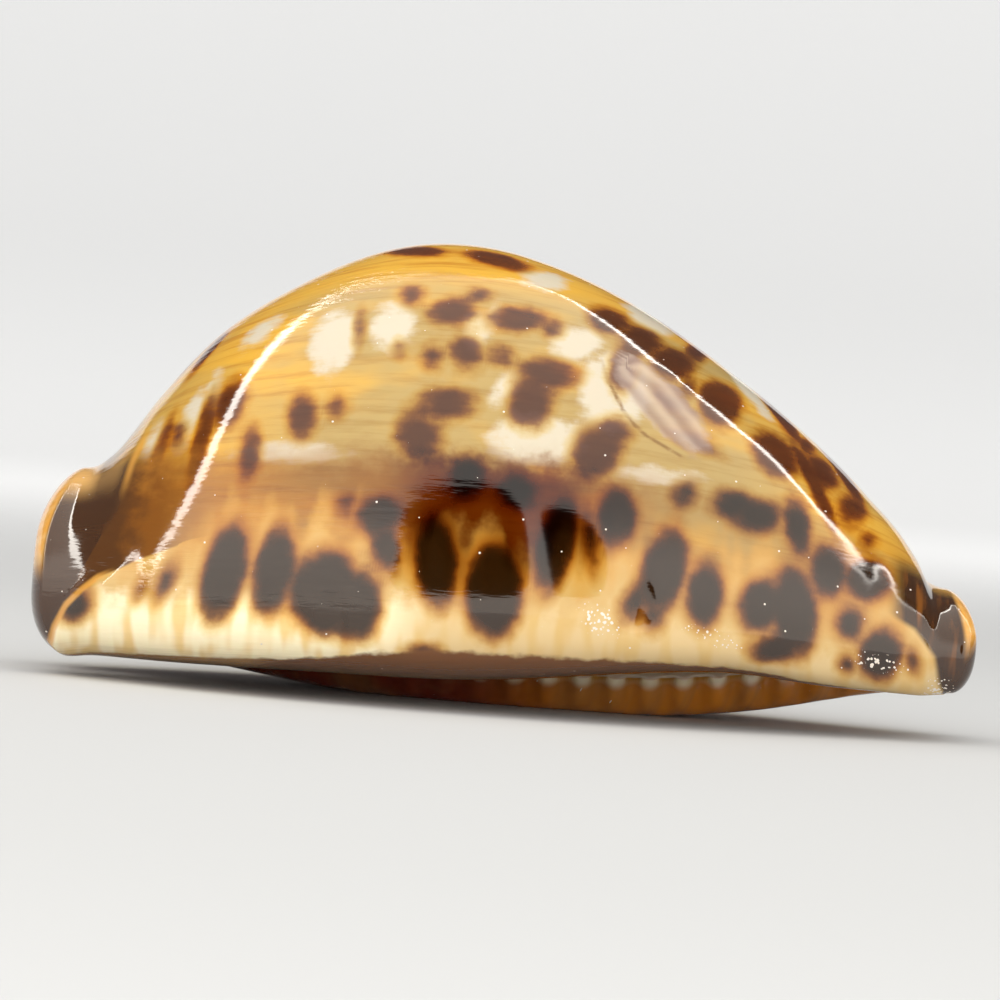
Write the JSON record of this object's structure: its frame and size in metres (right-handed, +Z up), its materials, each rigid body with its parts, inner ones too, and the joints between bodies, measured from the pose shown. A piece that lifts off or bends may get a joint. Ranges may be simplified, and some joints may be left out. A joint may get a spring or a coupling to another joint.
{
  "type": "cowrie shell",
  "caption": "Humpbacked cowrie shell, glossy and dark-spotted, open along a narrow toothed slit underneath, resting on its base.",
  "frame": {"origin": "middle of the shell's box, at the level of the spot it rests on", "axes": "+X towards the front (siphon) end along the length, -Y the outer-lip side, +Z up"},
  "size_m": [0.0576, 0.0364, 0.0283],
  "materials": {
    "shell_glaze": "high natural gloss, cream and amber with dark brown spots"
  },
  "bodies": {
    "root": {"shell": "shell_glaze"}
  },
  "joints": []
}
